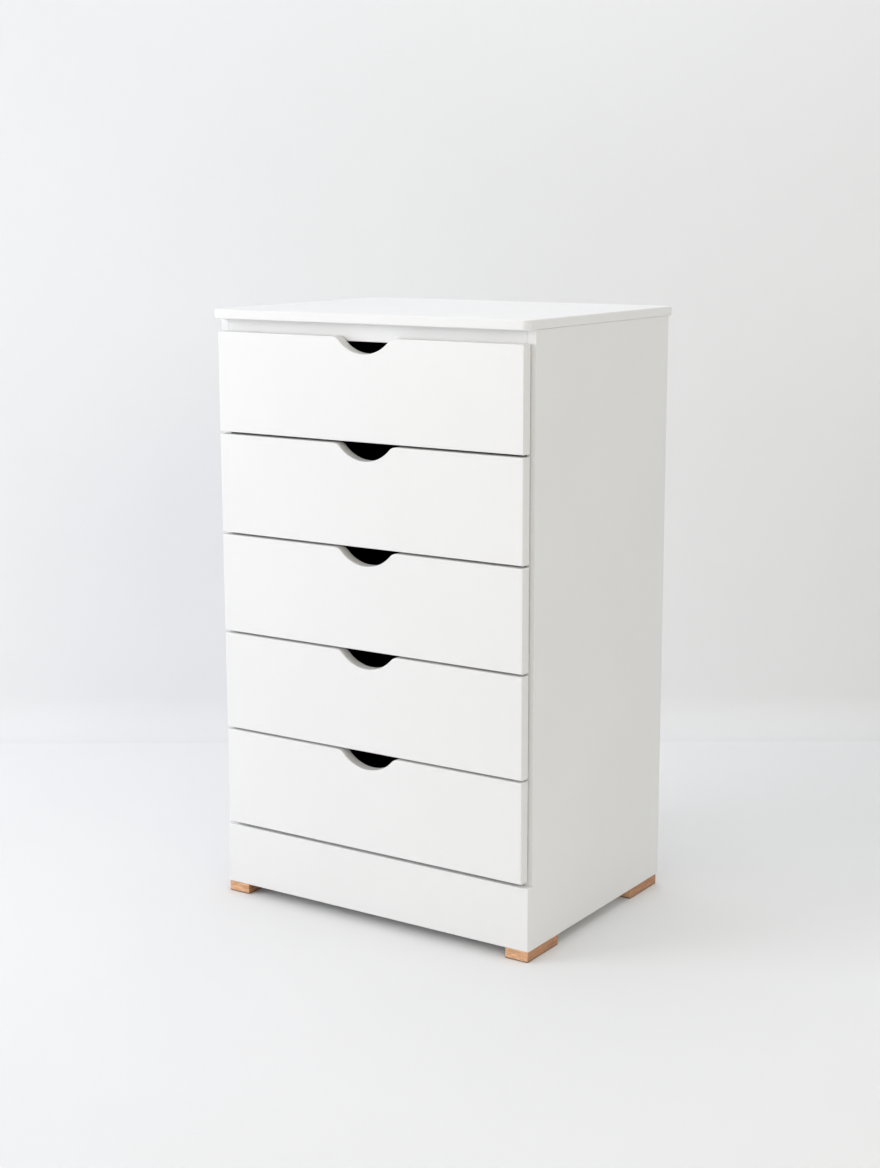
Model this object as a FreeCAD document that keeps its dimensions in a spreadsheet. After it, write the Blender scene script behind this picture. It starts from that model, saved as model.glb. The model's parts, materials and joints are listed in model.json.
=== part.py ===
import FreeCAD, Part
import os
import Sketcher

# A tall chest with five equal drawers on a plinth and four flat feet, in millimetres.
# X runs from left to right, Y from the front to the back and Z up.
# The origin is on the floor, below the centre of the whole chest.

DRAWERS = 5
TOUCH = 0.01                       # how near an edge lies to a plane to count as in it
LEAST_CUT = 1                      # cubic millimetres that every cut takes away at least
SINK_ANGLE = 90                    # a countersunk head's full angle
START, END, CENTRE = 1, 2, 3       # a sketch line's two ends and a circle's centre
ORIGIN = -1                        # the sketch's own origin
UP = FreeCAD.Vector(0, 0, 1)
FORWARDS = FreeCAD.Vector(0, -1, 0)
RIGHT = FreeCAD.Vector(1, 0, 0)
LEFT = FreeCAD.Vector(-1, 0, 0)

SIZES = {
    # carcass
    "carcass_width": 694,
    "carcass_depth": 490,
    "carcass_height": 1115,
    "board": 18,
    "board_edge": 0.8,
    "rail_height": 33,
    "foot_height": 20,
    "foot_width": 48,
    "foot_length": 108,
    "foot_inset": 7,
    "foot_edge": 1.5,
    "plinth_height": 120,
    "plinth_board": 16,
    "plinth_edge": 1.5,
    # top panel
    "top_front": 27,
    "top_side": 1,
    "top_rear": 13,
    "top_corner": 14,
    "top_rear_corner": 4,
    "top_edge": 2.5,
    # back panel, held in grooves of the side panels
    "back_board": 4,
    "back_inset": 10,
    "groove_depth": 8,
    "groove_play": 0.1,
    "back_play": 1,
    # drawer fronts
    "front_width": 674,
    "front_height": 189,
    "front_board": 22,
    "front_spacing": 4.5,
    "front_gap": 2,
    "front_edge": 2,
    "front_rear_edge": 0.8,
    "top_reveal": 23.5,
    # hand cut-out in the top edge of each front
    "grip_radius": 75,
    "grip_rise": 45,
    "grip_shoulder": 20,
    # drawer boxes
    "box_board": 12,
    "box_height": 125,
    "box_length": 455,
    "box_lift": 22,
    "box_edge": 2,
    "floor_board": 4,
    "floor_lift": 10,
    "floor_groove": 6,
    "floor_play": 0.5,
    # runners: three steel channels, one inside the other
    "runner_length": 450,
    "runner_setback": 2,
    "runner_gap": 12.7,
    "runner_steel": 1.2,
    "outer_half": 22.5,
    "outer_reach": 10,
    "middle_half": 18.8,
    "middle_start": 5,
    "middle_reach": 11,
    "inner_half": 15.1,
    "inner_reach": 5.3,
    "runner_bend": 1,
    # dowels, screws and pins
    "dowel_radius": 4,
    "dowel_length": 30,
    "dowel_face_hole": 12,
    "dowel_end_hole": 20,
    "dowel_margin": 60,
    "hole_play": 0.1,
    "screw_radius": 2,
    "screw_head": 4,
    "screw_head_depth": 2,
    "screw_sink": 0.05,
    "box_screw": 30,
    "foot_screw": 40,
    "foot_screw_sink": 1.15,
    "foot_screw_margin": 25,
    "front_screw_offset": 200,
    "low_screw": 25,
    "high_screw": 100,
    "box_screw_end": 1,
    "foot_screw_end": 4,
    "runner_screw": 12,
    "runner_screw_end": 0.5,
    "runner_screw_head": 3.5,
    "runner_screw_crown": 2.5,
    "runner_screw_rise": 1.8,
    "runner_screw_margin": 35,
    "pin_radius": 0.8,
    "pin_length": 25,
    "pin_spacing": 150,
}

doc = FreeCAD.newDocument("chest_of_drawers")
sheet = doc.addObject("Spreadsheet::Sheet", "Sizes")
for row, (alias, number) in enumerate(SIZES.items(), start=1):
    sheet.set(f"A{row}", alias)
    sheet.set(f"B{row}", str(number))
    sheet.setAlias(f"B{row}", alias)
doc.recompute()

sub_parts = []      # every finished sub-part, in the order it was made
cuts = []           # every feature that takes material away, with the volume before it


# Places that several sub-parts share, as expressions of the sheet

def total(*terms):
    """The sum of several expressions, in brackets."""
    return "(" + " + ".join(f"({term})" for term in terms) + ")"


def less(*terms):
    """The first expression with the others taken from it, in brackets."""
    return "(" + " - ".join(f"({term})" for term in terms) + ")"


FRONT_PLANE = "((Sizes.top_front - Sizes.top_rear - Sizes.carcass_depth) / 2)"
HALF_WIDTH = "(Sizes.carcass_width / 2)"
INNER_HALF = less(HALF_WIDTH, "Sizes.board")
BOX_HALF = less(INNER_HALF, "Sizes.runner_gap")
BOX_INNER_HALF = less(BOX_HALF, "Sizes.box_board")
SIDE_TOP = total("Sizes.foot_height", "Sizes.carcass_height")
PLINTH_TOP = total("Sizes.foot_height", "Sizes.plinth_height")
BOX_FRONT = less(FRONT_PLANE, "Sizes.front_gap")
BACK_FACE = less("Sizes.carcass_depth", "Sizes.back_inset", "Sizes.back_board")
BOX_MIDDLE = "(Sizes.box_height / 2)"
DOWEL_DEPTHS = [
    "Sizes.dowel_margin",
    "(Sizes.carcass_depth / 2)",
    less("Sizes.carcass_depth", "Sizes.dowel_margin"),
]
BOTTOM_DOWEL_DEPTHS = [
    "Sizes.dowel_margin",
    f"({BACK_FACE} / 2)",
    less(BACK_FACE, "Sizes.dowel_margin"),
]
PLINTH_DOWEL_LIFTS = ["(Sizes.plinth_height / 4)", "(Sizes.plinth_height * 3 / 4)"]
RAIL_DOWEL_LIFT = less("Sizes.carcass_height", "Sizes.rail_height / 2")
BOTTOM_DOWEL_LIFT = less("Sizes.plinth_height", "Sizes.board / 2")
BOX_SCREW_LIFTS = ["Sizes.low_screw", "Sizes.high_screw"]
RUNNER_SCREW_STEPS = [
    "Sizes.runner_screw_margin",
    "(Sizes.runner_length / 2)",
    less("Sizes.runner_length", "Sizes.runner_screw_margin"),
]
PIN_STEPS = [-2, -1, 0, 1, 2]
SCREW_HOLE = "(Sizes.screw_radius + Sizes.hole_play)"
DOWEL_HOLE = "(Sizes.dowel_radius + Sizes.hole_play)"
BOX_SCREW_DEPTH = "(Sizes.box_screw - Sizes.box_board + Sizes.box_screw_end)"
FOOT_SCREW_DEPTH = "(Sizes.foot_screw - Sizes.foot_height + Sizes.foot_screw_end)"
RUNNER_SCREW_DEPTH = "(Sizes.runner_screw - Sizes.runner_steel + Sizes.runner_screw_end)"


def front_base(number):
    """Height of the lower edge of a drawer front, counted from the top drawer."""
    return less(
        SIDE_TOP,
        "Sizes.top_reveal",
        f"{number} * Sizes.front_height",
        f"{number - 1} * Sizes.front_spacing",
    )


def box_base(number):
    """Height of the lower edge of a drawer's box."""
    return total(front_base(number), "Sizes.box_lift")


def runner_height(number):
    """Height of the middle of a drawer's runners."""
    return total(box_base(number), BOX_MIDDLE)


# Sketches and features

def value(expression):
    """What an expression of the sheet comes to."""
    return float(sheet.evalExpression(str(expression)))


def place(item, across, back, up):
    """Bind an object's position to three expressions."""
    item.setExpression("Placement.Base.x", str(across))
    item.setExpression("Placement.Base.y", str(back))
    item.setExpression("Placement.Base.z", str(up))


def new_body(label):
    """A body with a label of its own."""
    body = doc.addObject("PartDesign::Body", label)
    body.Label = label
    return body


def new_sketch(body, role, name, lift="0"):
    """A sketch on one of the body's origin planes, lifted along the plane's normal."""
    planes = {feature.Role: feature for feature in body.Origin.OriginFeatures}
    sketch = body.newObject("Sketcher::SketchObject", f"{body.Label}_{name}")
    sketch.AttachmentSupport = (planes[role], [""])
    sketch.MapMode = "FlatFace"
    sketch.setExpression("AttachmentOffset.Base.z", lift)
    return sketch


def hold_point(sketch, line, end, spot):
    """Hold a point of the sketch at a pair of expressions."""
    for kind, expression in zip(("DistanceX", "DistanceY"), spot):
        constraint = Sketcher.Constraint(kind, ORIGIN, START, line, end, value(expression))
        number = sketch.addConstraint(constraint)
        sketch.setExpression(f"Constraints[{number}]", expression)


def polygon(sketch, corners):
    """A closed outline through corners, each of them a pair of expressions."""
    first = sketch.GeometryCount
    count = len(corners)
    spots = [FreeCAD.Vector(value(across), value(up), 0) for across, up in corners]
    for index in range(count):
        sketch.addGeometry(Part.LineSegment(spots[index], spots[(index + 1) % count]), False)
    for index in range(count):
        following = first + (index + 1) % count
        sketch.addConstraint(Sketcher.Constraint("Coincident", first + index, END, following, START))
        hold_point(sketch, first + index, START, corners[index])


def rectangle(sketch, low, high):
    """A rectangle between two opposite corners."""
    polygon(sketch, [low, (high[0], low[1]), high, (low[0], high[1])])


def circle(sketch, centre, radius):
    """A circle about a pair of expressions."""
    middle = FreeCAD.Vector(value(centre[0]), value(centre[1]), 0)
    number = sketch.addGeometry(Part.Circle(middle, UP, value(radius)), False)
    hold_point(sketch, number, CENTRE, centre)
    size = sketch.addConstraint(Sketcher.Constraint("Radius", number, value(radius)))
    sketch.setExpression(f"Constraints[{size}]", radius)


def pad(body, sketch, length, along_normal=True):
    """Raise a sketch into a solid."""
    feature = body.newObject("PartDesign::Pad", f"{sketch.Name}_pad")
    feature.Profile = sketch
    feature.Reversed = not along_normal
    feature.setExpression("Length", length)
    sketch.Visibility = False
    doc.recompute()
    return feature


def pocket(body, sketch, length, along_normal):
    """Cut a sketch into the solid, along the sketch plane's normal or against it."""
    before = body.Tip.Shape.Volume
    feature = body.newObject("PartDesign::Pocket", f"{sketch.Name}_pocket")
    feature.Profile = sketch
    feature.Reversed = along_normal
    feature.setExpression("Length", length)
    doc.recompute()
    cuts.append((feature, before))
    return feature


def drill(body, role, name, centres, radius, depth, along_normal, lift="0"):
    """Drill round holes of one size from one plane."""
    sketch = new_sketch(body, role, name, lift)
    for centre in centres:
        circle(sketch, centre, radius)
    return pocket(body, sketch, depth, along_normal)


def countersink(body, role, name, centres, along_normal, lift="0"):
    """Drill through holes for countersunk screws, with the wide end at the plane."""
    sketch = new_sketch(body, role, name, lift)
    for centre in centres:
        circle(sketch, centre, "Sizes.screw_radius")
    doc.recompute()
    before = body.Tip.Shape.Volume
    hole = body.newObject("PartDesign::Hole", f"{sketch.Name}_hole")
    hole.Profile = sketch
    doc.recompute()
    hole.DepthType = "ThroughAll"
    hole.HoleCutType = "Countersink"
    hole.HoleCutCustomValues = True
    hole.HoleCutCountersinkAngle = SINK_ANGLE
    hole.Reversed = along_normal
    hole.setExpression("Diameter", "2 * (Sizes.screw_radius + Sizes.hole_play)")
    hole.setExpression("HoleCutDiameter", "2 * (Sizes.screw_head + Sizes.hole_play)")
    doc.recompute()
    cuts.append((hole, before))
    return hole


def lies_at(edge, axis, spot):
    """True where the whole edge lies in one plane across an axis."""
    box = edge.BoundBox
    low = getattr(box, f"{axis}Min")
    high = getattr(box, f"{axis}Max")
    return abs(low - spot) < TOUCH and abs(high - spot) < TOUCH


def runs_along(edge, axis):
    """True where the edge is straight and parallel to an axis."""
    box = edge.BoundBox
    across = [getattr(box, f"{other}Length") for other in "XYZ" if other != axis]
    return max(across) < TOUCH < getattr(box, f"{axis}Length")


def round_edges(body, name, radius, chosen):
    """Round the edges of the body's last feature that the chosen test accepts."""
    base = body.Tip
    names = [f"Edge{n}" for n, edge in enumerate(base.Shape.Edges, start=1) if chosen(edge)]
    if not names:
        raise ValueError(f"{body.Label}: no edge to round for {name}")
    feature = body.newObject("PartDesign::Fillet", f"{body.Label}_{name}")
    feature.Base = (base, names)
    feature.setExpression("Radius", radius)
    doc.recompute()
    return feature


def board(label, size, spot):
    """A plain rectangular board as a body, with its low corner at spot."""
    body = new_body(label)
    outline = new_sketch(body, "XY_Plane", "outline")
    rectangle(outline, ("0", "0"), (size[0], size[1]))
    pad(body, outline, size[2])
    place(body, *spot)
    return body


def finish(item):
    """Count an object as a finished sub-part."""
    sub_parts.append(item)
    return item


# Fasteners, each group of equal pieces as one sub-part

def rod(name, radius, length, direction, spot):
    """A straight round piece that starts at spot and points along direction."""
    piece = doc.addObject("Part::Cylinder", name)
    piece.setExpression("Radius", radius)
    piece.setExpression("Height", length)
    piece.Placement = FreeCAD.Placement(FreeCAD.Vector(), FreeCAD.Rotation(UP, direction))
    place(piece, *spot)
    return piece


def screw(name, length, direction, spot):
    """The two solids of a countersunk screw, with its head's flat face at spot."""
    head = doc.addObject("Part::Cone", f"{name}_head")
    head.setExpression("Radius1", "Sizes.screw_head")
    head.setExpression("Radius2", "Sizes.screw_radius")
    head.setExpression("Height", "Sizes.screw_head_depth")
    head.Placement = FreeCAD.Placement(FreeCAD.Vector(), FreeCAD.Rotation(UP, direction))
    place(head, *spot)
    shank = rod(f"{name}_shank", "Sizes.screw_radius", length, direction, spot)
    return [head, shank]


def runner_screws(name, web, inward, hand, height):
    """The solids of three pan-head screws through one runner member at one side.

    The heads stand on the web's inner face and the shanks point away from it:
    inward is 1 where they point to the middle of the chest and -1 where they
    point to its outside."""
    into, out = (LEFT, RIGHT) if hand * inward > 0 else (RIGHT, LEFT)
    pieces = []
    for step, depth in enumerate(RUNNER_SCREW_STEPS, start=1):
        spot = (f"({hand} * {web})", total(FRONT_PLANE, "Sizes.runner_setback", depth), height)
        head = doc.addObject("Part::Cone", f"{name}_{step}_head")
        head.setExpression("Radius1", "Sizes.runner_screw_head")
        head.setExpression("Radius2", "Sizes.runner_screw_crown")
        head.setExpression("Height", "Sizes.runner_screw_rise")
        head.Placement = FreeCAD.Placement(FreeCAD.Vector(), FreeCAD.Rotation(UP, out))
        place(head, *spot)
        shank = rod(f"{name}_{step}_shank", "Sizes.screw_radius", "Sizes.runner_screw", into, spot)
        pieces += [head, shank]
    return pieces


def group(label, pieces):
    """Separate solids that share one sub-part."""
    joined = doc.addObject("Part::MultiFuse", label)
    joined.Label = label
    joined.Shapes = pieces
    return finish(joined)


# Carcass

def top_panel():
    """The top: rounded corners, eased edges and dowel holes underneath."""
    width = total("Sizes.carcass_width", "2 * Sizes.top_side")
    depth = total("Sizes.carcass_depth", "Sizes.top_front", "Sizes.top_rear")
    low_corner = (less(f"0 - {HALF_WIDTH}", "Sizes.top_side"), f"(0 - {depth} / 2)", SIDE_TOP)
    body = board("top_panel", (width, depth, "Sizes.board"), low_corner)
    rear = value(depth)
    thickness = value("Sizes.board")
    round_edges(body, "front_corners", "Sizes.top_corner",
                lambda edge: runs_along(edge, "Z") and lies_at(edge, "Y", 0))
    round_edges(body, "rear_corners", "Sizes.top_rear_corner",
                lambda edge: runs_along(edge, "Z") and lies_at(edge, "Y", rear))
    round_edges(body, "rims", "Sizes.top_edge",
                lambda edge: lies_at(edge, "Z", 0) or lies_at(edge, "Z", thickness))
    columns = [total("Sizes.top_side", "Sizes.board / 2")]
    columns.append(less(width, "Sizes.top_side", "Sizes.board / 2"))
    spots = [(column, total("Sizes.top_front", depth_at))
             for column in columns for depth_at in DOWEL_DEPTHS]
    drill(body, "XY_Plane", "dowel_holes", spots, DOWEL_HOLE,
          "Sizes.dowel_face_hole", True)
    return finish(body)


def side_panel(label, hand):
    """A side panel: hand is 1 for the right one and -1 for the left one."""
    body = new_body(label)
    outline = new_sketch(body, "XY_Plane", "outline")
    outer = f"({hand} * Sizes.board)"
    rectangle(outline, ("0", "0"), (outer, "Sizes.carcass_depth"))
    pad(body, outline, "Sizes.carcass_height")
    round_edges(body, "upright_edges", "Sizes.board_edge", lambda edge: runs_along(edge, "Z"))

    groove = new_sketch(body, "XY_Plane", "back_groove")
    groove_low = ("0", less(BACK_FACE, "Sizes.groove_play"))
    groove_high = (f"({hand} * Sizes.groove_depth)",
                   total(BACK_FACE, "Sizes.back_board", "Sizes.groove_play"))
    rectangle(groove, groove_low, groove_high)
    pocket(body, groove, "Sizes.carcass_height", True)

    middle = f"({hand} * Sizes.board / 2)"
    drill(body, "XY_Plane", "top_dowel_holes", [(middle, depth) for depth in DOWEL_DEPTHS],
          DOWEL_HOLE, "Sizes.dowel_end_hole", False, "Sizes.carcass_height")
    inner_spots = [(depth, BOTTOM_DOWEL_LIFT) for depth in BOTTOM_DOWEL_DEPTHS]
    inner_spots.append(("Sizes.board / 2", RAIL_DOWEL_LIFT))
    drill(body, "YZ_Plane", "inner_dowel_holes", inner_spots, DOWEL_HOLE,
          "Sizes.dowel_face_hole", hand > 0)
    drill(body, "XZ_Plane", "plinth_dowel_holes", [(middle, lift) for lift in PLINTH_DOWEL_LIFTS],
          DOWEL_HOLE, "Sizes.dowel_end_hole", False)
    drill(body, "XY_Plane", "foot_screw_holes", [(middle, depth) for depth in foot_screw_depths()],
          SCREW_HOLE, FOOT_SCREW_DEPTH, True)
    runner_spots = [(total("Sizes.runner_setback", step),
                     less(runner_height(number), "Sizes.foot_height"))
                    for number in range(1, DRAWERS + 1) for step in RUNNER_SCREW_STEPS]
    drill(body, "YZ_Plane", "runner_screw_holes", runner_spots, SCREW_HOLE,
          RUNNER_SCREW_DEPTH, hand > 0)
    place(body, f"({hand} * {INNER_HALF})", FRONT_PLANE, "Sizes.foot_height")
    return finish(body)


def bottom_panel():
    """The carcass floor, between the side panels and in front of the back panel."""
    width = f"(2 * {INNER_HALF})"
    low_corner = (f"(0 - {INNER_HALF})", FRONT_PLANE, less(PLINTH_TOP, "Sizes.board"))
    body = board("bottom_panel", (width, BACK_FACE, "Sizes.board"), low_corner)
    spots = [(depth, "Sizes.board / 2") for depth in BOTTOM_DOWEL_DEPTHS]
    drill(body, "YZ_Plane", "left_dowel_holes", spots, DOWEL_HOLE, "Sizes.dowel_end_hole", True)
    drill(body, "YZ_Plane", "right_dowel_holes", spots, DOWEL_HOLE, "Sizes.dowel_end_hole", False, width)
    pins = [(total(INNER_HALF, f"{step} * Sizes.pin_spacing"), "Sizes.board / 2")
            for step in PIN_STEPS]
    drill(body, "XZ_Plane", "pin_holes", pins, "Sizes.pin_radius + Sizes.hole_play",
          "Sizes.pin_length", True, f"(0 - {BACK_FACE})")
    return finish(body)


def top_front_rail():
    """The rail under the front of the top panel, between the side panels."""
    width = f"(2 * {INNER_HALF})"
    low_corner = (f"(0 - {INNER_HALF})", FRONT_PLANE, less(SIDE_TOP, "Sizes.rail_height"))
    body = board("top_front_rail", (width, "Sizes.board", "Sizes.rail_height"), low_corner)
    top = value("Sizes.rail_height")
    round_edges(body, "front_edges", "Sizes.board_edge",
                lambda edge: lies_at(edge, "Y", 0) and not lies_at(edge, "Z", top))
    spots = [("Sizes.board / 2", "Sizes.rail_height / 2")]
    drill(body, "YZ_Plane", "left_dowel_hole", spots, DOWEL_HOLE, "Sizes.dowel_end_hole", True)
    drill(body, "YZ_Plane", "right_dowel_hole", spots, DOWEL_HOLE, "Sizes.dowel_end_hole", False, width)
    return finish(body)


def back_panel():
    """The thin back, from the bottom panel's lower face to just under the top."""
    reach = less("Sizes.groove_depth", "Sizes.back_play")
    width = f"(2 * {total(INNER_HALF, reach)})"
    low_corner = (f"(0 - {width} / 2)", total(FRONT_PLANE, BACK_FACE),
                  less(PLINTH_TOP, "Sizes.board"))
    up = less(SIDE_TOP, PLINTH_TOP, "0 - Sizes.board", "Sizes.back_play")
    body = board("back_panel", (width, "Sizes.back_board", up), low_corner)
    pins = [(f"({width} / 2 + {step} * Sizes.pin_spacing)", "Sizes.board / 2")
            for step in PIN_STEPS]
    drill(body, "XZ_Plane", "pin_holes", pins, "Sizes.pin_radius + Sizes.hole_play",
          "Sizes.back_board", False)
    return finish(body)


def plinth_board():
    """The plinth's board, across the front edges of both side panels."""
    low_corner = (f"(0 - {HALF_WIDTH})", less(FRONT_PLANE, "Sizes.plinth_board"),
                  "Sizes.foot_height")
    size = ("Sizes.carcass_width", "Sizes.plinth_board", "Sizes.plinth_height")
    body = board("plinth_board", size, low_corner)
    thickness = value("Sizes.plinth_board")
    round_edges(body, "front_edges", "Sizes.plinth_edge", lambda edge: lies_at(edge, "Y", 0))
    round_edges(body, "rear_edges", "Sizes.board_edge",
                lambda edge: lies_at(edge, "Y", thickness) and runs_along(edge, "Z"))
    columns = ["(Sizes.board / 2)", less("Sizes.carcass_width", "Sizes.board / 2")]
    spots = [(column, lift) for column in columns for lift in PLINTH_DOWEL_LIFTS]
    drill(body, "XZ_Plane", "dowel_holes", spots, DOWEL_HOLE,
          "Sizes.dowel_face_hole", True, "(0 - Sizes.plinth_board)")
    return finish(body)


# Feet

def foot_fronts():
    """How far behind the carcass's front edges the front and the rear feet start."""
    rear = less("Sizes.carcass_depth", "Sizes.foot_inset", "Sizes.foot_length")
    return {"front": "(0 - Sizes.plinth_board)", "rear": rear}


def foot_screw_depths():
    """Depths of all foot screws under one side panel, from the carcass's front edges."""
    front = foot_fronts()["front"]
    rear = foot_fronts()["rear"]
    back_margin = less("Sizes.foot_length", "Sizes.foot_screw_margin")
    first_margin = total("Sizes.foot_screw_margin", "Sizes.plinth_board")
    return [total(front, first_margin), total(front, back_margin),
            total(rear, "Sizes.foot_screw_margin"), total(rear, back_margin)]


def foot(label, hand, end):
    """One foot block, flush with the carcass's outer side, with two countersunk holes."""
    inward = f"({HALF_WIDTH} - Sizes.foot_width)"
    low_side = inward if hand > 0 else f"(0 - {HALF_WIDTH})"
    start = foot_fronts()[end]
    size = ("Sizes.foot_width", "Sizes.foot_length", "Sizes.foot_height")
    body = board(label, size, (low_side, total(FRONT_PLANE, start), "0"))
    top = value("Sizes.foot_height")
    round_edges(body, "edges", "Sizes.foot_edge", lambda edge: not lies_at(edge, "Z", top))
    column = less("Sizes.foot_width", "Sizes.board / 2") if hand > 0 else "(Sizes.board / 2)"
    own = foot_screw_depths()[:2] if end == "front" else foot_screw_depths()[2:]
    centres = [(column, less(depth, start)) for depth in own]
    hole = countersink(body, "XY_Plane", "screw_holes", centres, True)
    hole.setExpression("HoleCutDiameter",
                       "2 * (Sizes.screw_head + Sizes.hole_play + Sizes.foot_screw_sink)")
    return finish(body)


# Drawers

def drawer_front(number):
    """A drawer front with the hand cut-out in its top edge."""
    body = new_body(f"drawer_{number}_front")
    outline = new_sketch(body, "XZ_Plane", "outline")
    rectangle(outline, ("0", "0"), ("Sizes.front_width", "Sizes.front_height"))
    pad(body, outline, "Sizes.front_board", False)

    grip = new_sketch(body, "XZ_Plane", "grip")
    grip_centre = ("Sizes.front_width / 2", "Sizes.front_height + Sizes.grip_rise")
    circle(grip, grip_centre, "Sizes.grip_radius")
    pocket(body, grip, "Sizes.front_board", False)
    top = value("Sizes.front_height")
    width = value("Sizes.front_width")
    round_edges(body, "grip_shoulders", "Sizes.grip_shoulder",
                lambda edge: runs_along(edge, "Y") and lies_at(edge, "Z", top)
                and TOUCH < edge.BoundBox.XMin < width - TOUCH)
    round_edges(body, "front_edges", "Sizes.front_edge", lambda edge: lies_at(edge, "Y", 0))
    rear = value("Sizes.front_board")
    round_edges(body, "rear_edges", "Sizes.front_rear_edge", lambda edge: lies_at(edge, "Y", rear))

    middle = "Sizes.front_width / 2"
    columns = [f"({middle} - Sizes.front_screw_offset)", f"({middle} + Sizes.front_screw_offset)"]
    spots = [(column, total("Sizes.box_lift", lift)) for column in columns for lift in BOX_SCREW_LIFTS]
    drill(body, "XZ_Plane", "screw_holes", spots, SCREW_HOLE,
          BOX_SCREW_DEPTH, True, "(0 - Sizes.front_board)")
    place(body, "(0 - Sizes.front_width / 2)", less(BOX_FRONT, "Sizes.front_board"), front_base(number))
    return finish(body)


def cross_board(number, name, start, groove_at_rear):
    """A board across the drawer box: its inner front or its back."""
    width = f"(2 * {BOX_INNER_HALF})"
    spot = (f"(0 - {BOX_INNER_HALF})", total(BOX_FRONT, start), box_base(number))
    body = board(f"drawer_{number}_{name}", (width, "Sizes.box_board", "Sizes.box_height"), spot)
    height = value("Sizes.box_height")
    round_edges(body, "top_edges", "Sizes.box_edge",
                lambda edge: lies_at(edge, "Z", height) and runs_along(edge, "X"))
    groove = new_sketch(body, "YZ_Plane", "floor_groove")
    wall = "Sizes.box_board"
    inner = (less(wall, "Sizes.floor_groove"), wall) if groove_at_rear else ("0", "Sizes.floor_groove")
    low = (inner[0], less("Sizes.floor_lift", "Sizes.groove_play"))
    high = (inner[1], total("Sizes.floor_lift", "Sizes.floor_board", "Sizes.groove_play"))
    rectangle(groove, low, high)
    pocket(body, groove, width, True)
    spots = [("Sizes.box_board / 2", lift) for lift in BOX_SCREW_LIFTS]
    drill(body, "YZ_Plane", "left_screw_holes", spots, SCREW_HOLE, BOX_SCREW_DEPTH, True)
    drill(body, "YZ_Plane", "right_screw_holes", spots, SCREW_HOLE, BOX_SCREW_DEPTH, False, width)
    return body


def inner_front(number):
    """The drawer box's own front, screwed to the drawer front from inside."""
    body = cross_board(number, "inner_front", "0", True)
    columns = [less(BOX_INNER_HALF, "Sizes.front_screw_offset"),
               total(BOX_INNER_HALF, "Sizes.front_screw_offset")]
    spots = [(column, lift) for column in columns for lift in BOX_SCREW_LIFTS]
    countersink(body, "XZ_Plane", "front_screw_holes", spots, True, "(0 - Sizes.box_board)")
    return finish(body)


def box_back(number):
    """The drawer box's back."""
    return finish(cross_board(number, "back", less("Sizes.box_length", "Sizes.box_board"), False))


def box_side(number, name, hand):
    """A side of the drawer box: hand is 1 for the right one and -1 for the left one."""
    body = new_body(f"drawer_{number}_{name}")
    outline = new_sketch(body, "XY_Plane", "outline")
    outer = f"({hand} * Sizes.box_board)"
    rectangle(outline, ("0", "0"), (outer, "Sizes.box_length"))
    pad(body, outline, "Sizes.box_height")
    height = value("Sizes.box_height")
    round_edges(body, "top_edges", "Sizes.box_edge",
                lambda edge: lies_at(edge, "Z", height) and runs_along(edge, "Y"))
    groove = new_sketch(body, "XZ_Plane", "floor_groove")
    low = ("0", less("Sizes.floor_lift", "Sizes.groove_play"))
    high = (f"({hand} * Sizes.floor_groove)",
            total("Sizes.floor_lift", "Sizes.floor_board", "Sizes.groove_play"))
    rectangle(groove, low, high)
    pocket(body, groove, "Sizes.box_length", False)
    depths = ["(Sizes.box_board / 2)", less("Sizes.box_length", "Sizes.box_board / 2")]
    spots = [(depth, lift) for depth in depths for lift in BOX_SCREW_LIFTS]
    countersink(body, "YZ_Plane", "screw_holes", spots, hand < 0, outer)
    runner_spots = [(total("Sizes.front_gap", "Sizes.runner_setback", step), BOX_MIDDLE)
                    for step in RUNNER_SCREW_STEPS]
    drill(body, "YZ_Plane", "runner_screw_holes", runner_spots, SCREW_HOLE,
          RUNNER_SCREW_DEPTH, hand < 0, outer)
    place(body, f"({hand} * {BOX_INNER_HALF})", BOX_FRONT, box_base(number))
    return finish(body)


def box_floor(number):
    """The drawer's thin bottom, in the grooves of the four walls."""
    reach = less("Sizes.floor_groove", "Sizes.floor_play")
    width = f"(2 * {total(BOX_INNER_HALF, reach)})"
    length = less("Sizes.box_length", "2 * Sizes.box_board", f"0 - 2 * {reach}")
    spot = (f"(0 - {width} / 2)", total(BOX_FRONT, "Sizes.box_board", f"0 - {reach}"),
            total(box_base(number), "Sizes.floor_lift"))
    return finish(board(f"drawer_{number}_bottom", (width, length, "Sizes.floor_board"), spot))


def drawer_screws(number):
    """Screws: four into the front, two at each corner of the box, three in each runner member."""
    pieces = []
    heights = [total(box_base(number), lift) for lift in BOX_SCREW_LIFTS]
    inner_face = total(BOX_FRONT, less("Sizes.box_board", "Sizes.screw_sink"))
    corner_depths = [total(BOX_FRONT, "Sizes.box_board / 2"),
                     total(BOX_FRONT, "Sizes.box_length", "0 - Sizes.box_board / 2")]
    head_side = less(BOX_HALF, "Sizes.screw_sink")
    for side, hand in (("left", -1), ("right", 1)):
        for level, height in enumerate(heights, start=1):
            name = f"drawer_{number}_{side}_{level}"
            spot = (f"({hand} * Sizes.front_screw_offset)", inner_face, height)
            pieces += screw(f"{name}_front_screw", "Sizes.box_screw", FORWARDS, spot)
            for end, depth in zip(("near", "far"), corner_depths):
                spot = (f"({hand} * {head_side})", depth, height)
                inward = LEFT if hand > 0 else RIGHT
                pieces += screw(f"{name}_{end}_screw", "Sizes.box_screw", inward, spot)
        pieces += runner_screws(f"drawer_{number}_{side}_runner_screw",
                                total(BOX_HALF, "Sizes.runner_steel"), 1, hand,
                                runner_height(number))
    return group(f"drawer_{number}_screws", pieces)


# Runners

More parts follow.
